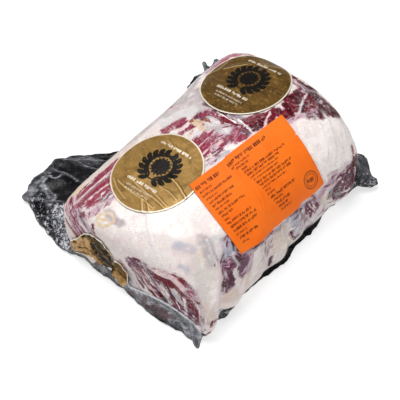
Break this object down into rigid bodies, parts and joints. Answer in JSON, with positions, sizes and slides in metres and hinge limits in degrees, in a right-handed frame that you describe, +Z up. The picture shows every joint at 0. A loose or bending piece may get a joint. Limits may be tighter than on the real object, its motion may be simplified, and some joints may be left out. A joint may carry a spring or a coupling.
{
  "type": "vacuum packed wagyu ribeye",
  "caption": "Whole boneless ribeye in a tight clear vacuum bag with a black back sheet, with round gold labels and an orange label on its film.",
  "frame": {"origin": "middle of the flat underside that the pack rests on", "axes": "+X along the meat, away from the end with the wide wing of film; +Y to the side where that wing lies; +Z up"},
  "size_m": [0.3121, 0.3019, 0.1305],
  "materials": {
    "pack_film": "clear glossy film drawn tight over white fat and dark red lean",
    "meat": "white fat with dark red lean, moist",
    "black_film": "crumpled black back sheet of the bag, semi-gloss",
    "gold_label": "printed gold-brown label with a cream rim, satin",
    "orange_label": "bright orange printed label, matt"
  },
  "bodies": {
    "root": {"vacuum_pack": "pack_film", "gold_label_front": "gold_label", "gold_label_back": "gold_label", "gold_label_end": "gold_label", "orange_label": "orange_label"}
  },
  "joints": []
}
